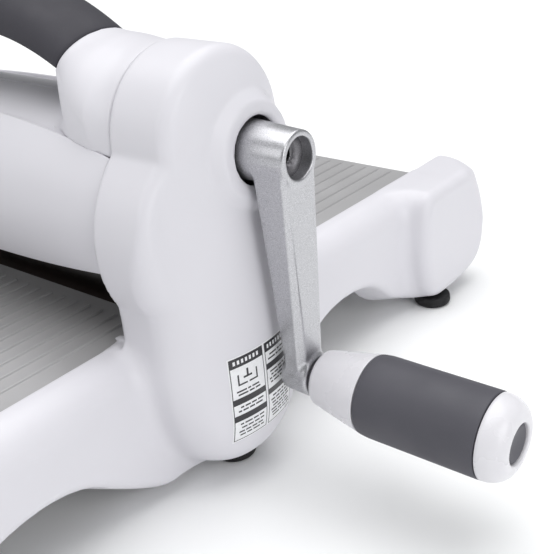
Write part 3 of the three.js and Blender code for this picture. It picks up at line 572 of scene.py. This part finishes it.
def guide_tab(x, y, z):
    """Small tab on the inner wall that guides the sandwich into the opening."""
    tab = both(np.abs(y + 29.5) - 1.6, x - 80, 0.6)
    tab = both(tab, both(70.4 - x, z - 62.2 + (80 - x) * 0.2, 0.8), 0.6)
    return both(tab, 59.3 - z, 0.4)


def housing_field(with_crank):
    """Field of a whole housing shell: open underneath, and ringed and bored where the crank goes in."""
    face_at = ringed_face_x if with_crank else column_face_x

    def field(x, y, z):
        side = np.abs(y)
        column = column_solid(x, y, z, face_at)
        rail = rail_solid(x, side, z)
        pod = pod_solid(x, side, z)
        arms = both(blend_join(rail, pod, 9), z - RAIL_Z, 0.8)
        outer = blend_join(column, arms, 7)

        hollow = np.minimum(column + WALL, both(rail + WALL, x - RAIL_X1 + WALL))
        hollow = np.minimum(hollow, both(pod + WALL, RAIL_X0 + WALL - x))
        above_rail = z > RAIL_Z + 0.3
        inner_side = np.where(above_rail, COLUMN_X0 - x, RAIL_X0 + 0.0 * y - x)
        shell = both(outer, inner_side, 0.8)
        open_side = np.where(above_rail, hollow, np.maximum(hollow, RAIL_X0 + WALL - x))
        shell = both(shell, -open_side, 0.5)
        shell = both(shell, POD_BOTTOM - z, 0.6)
        if with_crank:
            shell = both(shell, -np.maximum(from_crank_axis(y, z) - CRANK_BORE, 90 - x), 0.9)
        return blend_join(shell, guide_tab(x, y, z), 1.5)

    return field


HOUSING_LOW, HOUSING_HIGH = (69.0, -192.0, 3.6), (113.6, 192.0, 157.0)


def mirrored(points, quads):
    """The same surface on the machine's other side."""
    return points * np.array([-1.0, 1.0, 1.0]), quads[:, ::-1]


housing_step = 1.1
points, quads = zero_surface(housing_field(True), HOUSING_LOW, HOUSING_HIGH, housing_step)
add_object("right_side_shell", points, quads, [WHITE], "base", ["right_side_housing"])
points, quads = mirrored(*zero_surface(housing_field(False), HOUSING_LOW, HOUSING_HIGH, housing_step * 1.25))
add_object("left_side_shell", points, quads, [WHITE], "base", ["left_side_housing"])


# ------------------------------------------------------------------ handle, sleeves, covers
def handle_line(x):
    """Height of the handle's middle line."""
    return HANDLE_TOP - HANDLE_SAG * x * x


def hood_edge(x, low_z, high_z):
    """Height of a hood's edge, bowing from low_z at its ends towards high_z in the middle."""
    t = (x + COVER_HALF + 1) / (2 * COVER_HALF + 2)
    return low_z + (high_z - low_z) * 2 * t * (1 - t)


def handle_slope(x):
    """Angle at which the handle's middle line falls away from the middle."""
    return np.arctan(2 * HANDLE_SAG * x)


def neck_solid(side, y, z):
    """Neck of a sleeve: it goes on from the hand grip and flares towards the drum."""
    slope = handle_slope(side)
    foot_x = side - np.sin(slope) * np.cos(slope) * (z - handle_line(side))  # nearest point of the line
    rise = (z - handle_line(foot_x)) / np.maximum(np.cos(handle_slope(foot_x)), 0.5)
    flare = np.clip((foot_x - HANDLE_JOINT) / 20, 0, 1.3)
    half = HANDLE_HALF + 8 * flare
    height = np.where(rise > 0, 9.9 + 1.5 * flare, 4.6 + 12 * flare)
    neck = (np.sqrt((y / half) ** 2 + (rise / height) ** 2) - 1) * np.minimum(half, height)
    return both(neck, side - 67, 0)


def sleeve_field(x, y, z):
    """Shoulder between the handle and a column, lying on the top covers."""
    side = np.abs(x)
    r_head = np.sqrt(y ** 2 + (z - HEAD_Z) ** 2)
    r_body = np.sqrt(y ** 2 + (z - SHROUD_Z) ** 2)
    drum = both(r_head - SLEEVE_R, (SLEEVE_X0 - side) * 0.75, 9)
    solid = blend_join(drum, neck_solid(side, y, z), 9)
    joint = handle_slope(HANDLE_JOINT)
    above_joint = z - handle_line(HANDLE_JOINT)
    past_joint = (HANDLE_JOINT + 0.15 - side) * math.cos(joint) + above_joint * math.sin(joint)
    solid = both(solid, np.where(z > 138, past_joint, OUTSIDE_REACH), 0.6)
    skin = blend_join(solid, r_body - (COVER_R - 0.05), 7)
    skin = np.maximum(skin, solid - 7.2)
    rim = hood_edge(side, *HOOD_TOP)
    reach = HOOD_R + 0.85 * np.maximum(0, z - rim + 0.8)
    skin = both(skin, np.where(np.abs(y) > 18, (r_body - reach) * 0.75, OUTSIDE_REACH), 2.5)
    under_hood = r_body - (HOOD_R - HOOD_WALL - 0.2)
    skin = np.maximum(skin, np.where(z < rim - 0.5, under_hood, OUTSIDE_REACH))
    skin = np.maximum(skin, COVER_R - 0.9 - r_body)
    return both(skin, side - COVER_HALF, 0.6)


sleeve_step = 0.85
points, quads = zero_surface(sleeve_field, (37, -34, 104), (79, 34, 160), sleeve_step)
add_object("right_sleeve", points, quads, [WHITE], "base", ["right_handle_sleeve"])
points, quads = mirrored(points, quads)
add_object("left_sleeve", points, quads, [WHITE], "base", ["left_handle_sleeve"])


def curved_panel(name, node, radius, wall, edge_low, edge_high, sign):
    """Sheet on a cylinder about the shroud's axis. The edges are functions of x giving an angle."""
    across = np.linspace(-COVER_HALF, COVER_HALF, 61)
    share = np.linspace(0, 1, 57)
    outer = np.zeros((len(across), len(share), 3))
    inner = np.zeros_like(outer)
    for i, x in enumerate(across):
        angle = edge_low(x) + (edge_high(x) - edge_low(x)) * share
        for grid, r in ((outer, radius), (inner, radius - wall)):
            grid[i, :, 0] = x
            grid[i, :, 1] = sign * r * np.cos(angle)
            grid[i, :, 2] = SHROUD_Z + r * np.sin(angle)
    points, quads = sheet_solid(outer, inner)
    if sign < 0:
        quads = quads[:, ::-1]
    bevelled(add_object(name, points, quads, [WHITE], "base", [node], 40), 0.7)


def angle_at(z, radius):
    """Angle above the horizontal at which a cylinder about the shroud's axis reaches a height."""
    return math.asin((z - SHROUD_Z) / radius)


for end, sign in ENDS.items():
    curved_panel(
        f"{end}_hood_panel", f"{end}_hood", HOOD_R, HOOD_WALL,
        lambda x: angle_at(hood_edge(x, *HOOD_BOTTOM), HOOD_R),
        lambda x: angle_at(hood_edge(x, *HOOD_TOP), HOOD_R), sign,
    )
for end, sign in ENDS.items():
    seam = math.pi / 2 + sign * math.asin(-COVER_SEAM_Y / COVER_R) - COVER_SLIT / COVER_R
    curved_panel(f"{end}_cover_panel", f"{end}_top_cover", COVER_R, COVER_WALL,
                 lambda x: -0.06, lambda x: seam, sign)


def grip_points():
    """Rings of the arched hand grip, its ends turned in slightly."""
    stations = np.concatenate([[-1.0, -1.0, -0.992], np.linspace(-0.98, 0.98, 61), [0.992, 1.0, 1.0]])
    pull = np.concatenate([[3.0, 0.7, 0.2], np.zeros(61), [0.2, 0.7, 3.0]])
    angles = np.arange(72) * 2 * math.pi / 72
    c, s = np.cos(angles), np.sin(angles)
    rings = []
    for share, inset in zip(stations, pull):
        x = share * (HANDLE_JOINT - 0.15)
        slope = handle_slope(x)
        near_end = min(1, (x / HANDLE_JOINT) ** 2)
        half = HANDLE_HALF - inset
        above, below = 13.4 - 3.5 * near_end - inset, 5.6 - near_end - inset
        side = np.sign(c) * np.abs(c) ** 0.92 * half
        rise = np.where(s > 0, s * above, s * below)
        ring_x, ring_z = x + math.sin(slope) * rise, handle_line(x) + math.cos(slope) * rise
        rings.append(np.stack([ring_x, side, ring_z], axis=1))
    return rings


def loft(rings):
    """Points and faces of a solid through rings of equal length, closed at both ends."""
    count = len(rings[0])
    points = np.concatenate(rings)
    faces = []
    for r in range(len(rings) - 1):
        for k in range(count):
            n = (k + 1) % count
            faces.append((r * count + k, (r + 1) * count + k, (r + 1) * count + n, r * count + n))
    faces.append(tuple(range(count)))
    faces.append(tuple(range(len(points) - 1, len(points) - count - 1, -1)))
    return points, faces


points, faces = loft(grip_points())
add_object("hand_grip", points, [face[::-1] for face in faces], [HAND_GRIP], "base", ["handle_grip"],
           50)


# ------------------------------------------------------------------ bed
def bed_section(rib_height=None):
    """(x, z) section of the bed, clockwise from its lower left corner. Without a height it is flat."""
    upper = [(-BED_HALF, BED_BASE)]
    if rib_height is not None:
        top = BED_BASE + rib_height
        for i in range(RIB_COUNT):
            x = (i - RIB_COUNT // 2) * RIB_PITCH
            upper += filleted([(x - 1.4, BED_BASE), (x - 0.62, BED_BASE), (x - 0.38, top),
                               (x + 0.38, top), (x + 0.62, BED_BASE), (x + 1.4, BED_BASE)], 0.2, 3)
    upper.append((BED_HALF, BED_BASE))
    return [(-BED_HALF, BED_UNDER)] + upper + [(BED_HALF, BED_UNDER)]


def bed_piece(name, stations, nodes=()):
    """Closed solid through sections (y, section) along the feed."""
    points, faces = loft([np.array([(x, y, z) for x, z in section]) for y, section in stations])
    add_object(name, points, faces, [BED], "base", nodes, 40)


# The ribs fade out just before the bed's outer edges.
for end, sign in ENDS.items():
    stations = [(sign * y, bed_section(height)) for y, height in (
        (BED_FLAT, RIB_HEIGHT), (BED_END - 5, RIB_HEIGHT), (BED_END - 2.6, 0.02), (BED_END, 0.01))]
    if sign < 0:
        stations.reverse()
    bed_piece(f"bed_{end}", stations, ["platform_bed"] if sign < 0 else [])
bed_piece("bed_middle_front", [(-BED_FLAT, bed_section()), (-BED_GAP, bed_section())])
bed_piece("bed_middle_rear", [(BED_GAP, bed_section()), (BED_FLAT, bed_section())])
for x0, x1, label in ((-BED_HALF, -BED_BRIDGE, "left"), (BED_BRIDGE, BED_HALF, "right")):
    bridge = [(x0, BED_UNDER), (x0, BED_BASE), (x1, BED_BASE), (x1, BED_UNDER)]
    bed_piece(f"bed_bridge_{label}", [(-BED_GAP, bridge), (BED_GAP, bridge)])


# ------------------------------------------------------------------ rollers and rods
def roller_profile(half):
    """Roller with a journal at each end, the right one stepped down to carry its gear."""
    left_end, step_x, right_end = -85.9, 84.4, 97
    return filleted([
        (left_end, 0), (left_end, JOURNAL_R), (-half, JOURNAL_R), (-half, ROLLER_R),
        (half, ROLLER_R), (half, JOURNAL_R), (step_x, JOURNAL_R), (step_x, SHAFT_END_R),
        (right_end, SHAFT_END_R), (right_end, 0),
    ], 0.7)


# both rollers take the near-black steel, painted shade of the slot under the hoods
turned("upper_roller_bar", roller_profile(76), 0, UPPER_ROLLER_Z, SHADED_ROLLER_STEEL, "upper_roller_body",
       ["upper_roller"], 96)
turned("lower_roller_bar", roller_profile(66), 0, LOWER_ROLLER_Z, SHADED_ROLLER_STEEL, "lower_roller_body",
       ["lower_roller"], 96)
for level, y, z in (("upper", 23, 108), ("lower", 19, 25)):
    for end, sign in ENDS.items():
        rod = filleted([(-88.6, 0), (-88.6, 3), (-82.3, 3), (-82.3, ROD_R), (82.3, ROD_R), (82.3, 3),
                        (88.6, 3), (88.6, 0)], 0.4, 2)
        turned(f"{level}_{end}_rod_bar", rod, sign * y, z, STEEL, "base",
               [f"{level}_{end}_tie_rod"], 40)


# ------------------------------------------------------------------ crank arm
# Small pits left by the casting in the cup's floor: x, y, z and radius.
CASTING_PITS = [(119.9, 7.1, 118.0, 0.75), (119.8, 8.9, 118.9, 0.55), (120.0, 4.9, 117.3, 0.5),
                (120.1, 9.8, 121.0, 0.5), (119.9, 2.2, 118.9, 0.6)]


def arm_bar(x, y, z):
    """Bar of the arm: narrowing and thinning towards the knob, with chamfered front edges."""
    down_y, down_z = (KNOB_Y - CRANK_Y) / CRANK_LENGTH, (KNOB_Z - CRANK_Z) / CRANK_LENGTH
    along = (y - CRANK_Y) * down_y + (z - CRANK_Z) * down_z
    across = np.abs((CRANK_Y - y) * down_z + (z - CRANK_Z) * down_y)
    share = np.clip(along / CRANK_LENGTH, 0, 1)
    half = 8.5 - 2.1 * share
    back, front = 112.8 + 2.4 * share, 125.5 - 2.6 * share
    chamfer = 1.2 + 1.3 * share
    bar = both(across - half, x - front, 0.25)
    bar = both(bar, (across - half + x - front + chamfer) * math.sqrt(0.5), 0.25)
    bar = both(bar, back - x, 0.7)
    return both(bar, np.maximum(-along, along - CRANK_LENGTH), 0)


def crank_field(x, y, z):
    """Die-cast crank: tapered hub with a cup for the screw, bar, and the knob's boss."""
    r = from_crank_axis(y, z)
    hub = both(r - 9.7 + np.clip((x - 107) / 18.7, 0, 1), np.maximum(HUB_START - x, x - HUB_FACE), 0.7)
    boss_r = np.sqrt((y - KNOB_Y) ** 2 + (z - KNOB_Z) ** 2)
    boss = both(boss_r - 7.4 - np.clip((x - 113) / 24, 0, 0.4), np.maximum(113 - x, x - 124.2), 1.3)
    solid = blend_join(blend_join(arm_bar(x, y, z), hub, 1.2), boss, 1.6)
    solid = both(solid, -both(r - CUP_R, CUP_FLOOR - x, 2.4), 0.35)
    solid = both(solid, -np.maximum(r - SCREW_HOLE_R, 111 - x), 0.3)
    for pit_x, pit_y, pit_z, pit_r in CASTING_PITS:
        pit = np.sqrt((x - pit_x) ** 2 + (y - pit_y) ** 2 + (z - pit_z) ** 2) - pit_r
        solid = both(solid, -pit, 0.2)
    return solid


crank_step = 0.5
points, quads = zero_surface(crank_field, (97, -5.5, 31), (127, 21.5, 133), crank_step)
# slot 1, the darker silver, is painted shade inside the cup; slot 2, blackened steel, is painted shade on the
# screw hole's faces
casting = add_object("crank_casting", points, quads, [SILVER, CUP_SHADE_SILVER, BLACKENED], "crank", ["crank_arm"])
middle = points[quads].mean(axis=1)
r_middle = from_crank_axis(middle[:, 1], middle[:, 2])
behind_rim = middle[:, 0] < HUB_FACE - 0.7
cup_shade_faces, hole_shade_faces = (r_middle < CUP_R - 0.05) & behind_rim, (r_middle < SCREW_HOLE_R + 0.3) & behind_rim
# faces of the screw hole take blackened steel as painted shade
casting.data.polygons.foreach_set("material_index", cup_shade_faces.astype(int) + hole_shade_faces)


# ------------------------------------------------------------------ knob
def cap_profile():
    """End cap: a short rim, a well rounded corner, and a recess for the button."""
    corner, drop = 8.0, 6.2
    bend = [(190.5 + corner * math.sin(a), KNOB_R - drop * (1 - math.cos(a)))
            for a in np.linspace(0, math.pi / 2, 15)[1:]]
    return ([(190, 5.2), (190, KNOB_R - 0.45), (190.35, KNOB_R)] + bend
            + [(198.5, 7.4), (198.3, 7.0), (197.8, 6.85), (195, 6.8), (195, 5.2)])


def knob_part(name, profile, material, node, body="knob", segments=96, sharp=40):
    """A piece turned about the knob's axis."""
    turned(name, profile, KNOB_Y, KNOB_Z, material, body, [node], segments, sharp)


knob_part("knob_collar_shell",
          filleted([(127.4, SPINDLE_R), (126.3, SPINDLE_R), (126.3, 9.7), (146.4, 13.7), (146.4, 7.8),
                    (GRIP_END, 7.8), (GRIP_END, SPINDLE_R)], [0, 0.4, 1.6, 0.35, 0.4, 0.4, 0]),
          KNOB_WHITE, "knob_collar")
knob_part("knob_grip_skin",
          filleted([(GRIP_END, 8.1), (146.7, 8.1), (146.7, 13.75), (149.7, 14.15), (184, 14.25),
                    (GRIP_END, 14.25), (GRIP_END, 8.1)], [0, 0.2, 0.45, 3, 3, 0.45, 0]),
          GRIP, "knob_grip")
knob_part("knob_cap_shell", cap_profile(), KNOB_WHITE, "knob_end_cap", sharp=60)
knob_part("knob_button_disc",
          filleted([(195.4, 0), (195.4, 6.6), (197.4, 6.6), (197.9, 5.6), (197.5, 3.2), (197.4, 0)],
                   [0, 0.2, 0.5, 0.9, 1.2, 0]),
          GRIP, "knob_button", segments=64, sharp=60)
knob_part("knob_washer_ring",
          filleted([(124.5, SPINDLE_R), (124.5, 6.9), (126, 6.9), (126, SPINDLE_R)], 0.3),
          GRIP, "knob_washer", "crank", 64)


# ------------------------------------------------------------------ feet
def foot_mesh(x, y, segments=56):
    """Round rubber foot with a shallow dimple underneath."""
    r, height = 8.6, 4.8
    profile = filleted([(0, 0.9), (3.9, 0.9), (3.9, 0), (r - 1.2, 0), (r - 0.2, 1.0), (r, 2.4),
                        (r - 0.35, height - 0.2), (r - 1.2, height), (0, height)],
                       [0, 0.3, 0.3, 0.6, 0.6, 1, 0.6, 0.4, 0], 3)
    angles = np.arange(segments) * 2 * math.pi / segments
    rings = []
    for radius, z in profile:
        radius = max(radius, AXIS_R)
        ring_x, ring_y = x + radius * np.cos(angles), y + radius * np.sin(angles)
        rings.append(np.stack([ring_x, ring_y, np.full(segments, z)], axis=1))
    return loft(rings)


for end, (foot_x, foot_y) in FEET.items():
    for side, sign in (("right", 1), ("left", -1)):
        points, faces = foot_mesh(sign * foot_x, foot_y)
        add_object(f"{side}_{end}_foot_pad", points, [f[::-1] for f in faces], [RUBBER], "base",
                   [f"{side}_{end}_foot"], 45)


# ------------------------------------------------------------------ generic label
def label_rect(y0, y1, z0, z1, lift):
    """Thin patch that follows the crowned, leaning outer face of the right column."""
    ys = np.linspace(y0, y1, max(2, int((y1 - y0) / 2.5) + 2))
    zs = np.linspace(z0, z1, max(2, int((z1 - z0) / 3) + 2))
    y, z = np.meshgrid(ys, zs)
    points = np.stack([leaning_x(column_face_x(y, z), z) + lift, y, z], axis=-1).reshape(-1, 3)
    row = len(ys)
    faces = [(j * row + i, j * row + i + 1, (j + 1) * row + i + 1, (j + 1) * row + i)
             for j in range(len(zs) - 1) for i in range(row - 1)]
    return points.tolist(), faces


LABEL_Y, LABEL_Z = 6.3, -1.6  # shifts the label's layout to its place on the column
LABEL_LOW, LABEL_HIGH = 24.5, 57.0
LABEL_COLUMNS = ((-22.5, -8.0), (-7.0, 7.5))  # Y from and to
LABEL_BARS = (((39.2, 41.6), (32.6, 35.0)), ((46.6, 48.8), (36.6, 38.8)))  # Z of each column's bars
FRAME_LINE, HEADER, MARGIN = 0.3, 3.6, 0.5


def label_frames():
    """Dark strips (y0, y1, z0, z1) of each column's frame, header and bars."""
    strips = []
    for (y0, y1), bars in zip(LABEL_COLUMNS, LABEL_BARS):
        strips += [(y0, y1, LABEL_LOW, LABEL_LOW + FRAME_LINE), (y0, y1, LABEL_HIGH - FRAME_LINE, LABEL_HIGH),
                   (y0, y0 + FRAME_LINE, LABEL_LOW, LABEL_HIGH), (y1 - FRAME_LINE, y1, LABEL_LOW, LABEL_HIGH),
                   (y0, y1, LABEL_HIGH - HEADER, LABEL_HIGH)]
        strips += [(y0, y1, z0, z1) for z0, z1 in bars]
    return strips


def label_dashes():
    """Rows of short dashes in place of print, their lengths varied by a fixed rule."""
    rows = [(-20.6, -9.6, z) for z in (44.2, 42.9, 37.9, 36.5, 31.2, 29.6, 28.0, 26.6)]
    rows += [(-5.6, 6.4, z) for z in (51.8, 50.3, 45.2, 43.8, 42.4, 41.0,
                                      35.2, 33.8, 32.4, 31.0, 29.6, 28.2, 26.8)]
    dashes = []
    for number, (y0, y1, z) in enumerate(rows):
        start = y0 + 0.5 * (number % 3)
        while start < y1 - 1.2:
            length = min(1.3 + 0.9 * ((number * 7 + int(start * 3)) % 4), y1 - start)
            dashes.append((start, start + length, z - 0.3, z + 0.3))
            start += length + 0.55
    return dashes


def label_drawing():
    """Plain line drawing: a base in two parts between two posts, with a stem in the middle."""
    return [(-19.8, -16.0, 46.4, 47.0), (-15.2, -11.4, 46.4, 47.0), (-19.8, -19.2, 46.4, 50.6),
            (-12.0, -11.4, 46.4, 50.6), (-17.4, -13.8, 48.6, 49.3), (-16.0, -15.2, 48.6, 51.8)]


def build_label():
    """Blank-form label in three thin layers, with no lettering."""
    dark = label_frames() + label_dashes() + label_drawing()
    pale = [(y + 1.65 * i, y + 0.9 + 1.65 * i, 54.5, 56.0) for y in (-21.0, -5.6) for i in range(7)]
    paper = (LABEL_COLUMNS[0][0] - MARGIN, LABEL_COLUMNS[1][1] + MARGIN,
             LABEL_LOW - MARGIN, LABEL_HIGH + MARGIN)
    layers = [(paper, 0.05, 0)] + [(strip, 0.09, 1) for strip in dark] + [(strip, 0.12, 0) for strip in pale]
    points, faces, slots = [], [], []
    for (y0, y1, z0, z1), lift, index in layers:
        new_points, new_faces = label_rect(y0 + LABEL_Y, y1 + LABEL_Y, z0 + LABEL_Z, z1 + LABEL_Z, lift)
        faces += [tuple(i + len(points) for i in face) for face in new_faces]
        points += new_points
        slots += [index] * len(new_faces)
    piece = add_object("printed_label", np.array(points), faces, [LABEL_WHITE, LABEL_DARK], "base")
    piece.data.polygons.foreach_set("material_index", slots)


build_label()

# ------------------------------------------------------------------ carried-over CAD nodes
FINISH_BY_WORD = {"crank_screw": BLACKENED, "roller_gear": NYLON, "bush": BRONZE, "cover": WHITE,
                  "end_rail": WHITE, "housing": WHITE, "hood": WHITE, "sleeve": WHITE}
for name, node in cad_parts.items():
    finish = next((material for word, material in FINISH_BY_WORD.items() if word in name), STEEL)
    node.data.materials.clear()
    node.data.materials.append(finish)
    if "gear" not in name and "screw" not in name:
        bevelled(node, 0.9 if "end_rail" in name else 0.35, 2)

# ------------------------------------------------------------------ floor, light and camera
floor_nodes = Nodes("studio_floor")
floor_nodes.drive("Base Color", (0.95, 0.955, 0.955, 1))
floor_nodes.drive("Roughness", 0.75)
floor_nodes.drive("Specular IOR Level", 0.2)
bpy.ops.mesh.primitive_plane_add(size=14, location=(0, 0, 0))
floor = bpy.context.object
floor.name = "studio_floor"
floor.data.materials.append(floor_nodes.material)

world = bpy.data.worlds.new("studio_world")
world.use_nodes = True
world.node_tree.nodes["Background"].inputs["Color"].default_value = (0.96, 0.98, 1.0, 1)
world.node_tree.nodes["Background"].inputs["Strength"].default_value = 0.32
bpy.context.scene.world = world


def softbox(name, place, aim_z, size, power):
    """Square light at a place in metres, turned towards a point above the origin."""
    light = bpy.data.lights.new(name, "AREA")
    light.size = size
    light.energy = power
    lamp = bpy.data.objects.new(name, light)
    bpy.context.scene.collection.objects.link(lamp)
    place = Vector(place)
    turn = (Vector((0, 0, aim_z)) - place).to_track_quat("-Z", "Y")
    lamp.matrix_world = Matrix.LocRotScale(place, turn, None)


softbox("softbox_top", (-0.3, 0.2, 2.4), 0.05, 3.0, 72)
softbox("softbox_right", (1.8, -0.35, 0.8), 0.08, 1.2, 13)
softbox("softbox_left", (-1.0, -1.6, 0.9), 0.08, 1.0, 5)

camera_data = bpy.data.cameras.new("photo_camera")
camera_data.lens = 61.93
camera_data.sensor_width = 36
camera_data.clip_start = 0.01
camera = bpy.data.objects.new("photo_camera", camera_data)
bpy.context.scene.collection.objects.link(camera)
camera_turn = Euler([math.radians(a) for a in (64.198, 3.549, 37.805)])  # tilt, roll and heading
camera.matrix_world = Matrix.LocRotScale(Vector((0.25010, -0.21298, 0.21517)), camera_turn, None)
bpy.context.scene.camera = camera
bpy.context.scene.view_settings.view_transform = "Standard"
bpy.context.scene.view_settings.look = "None"
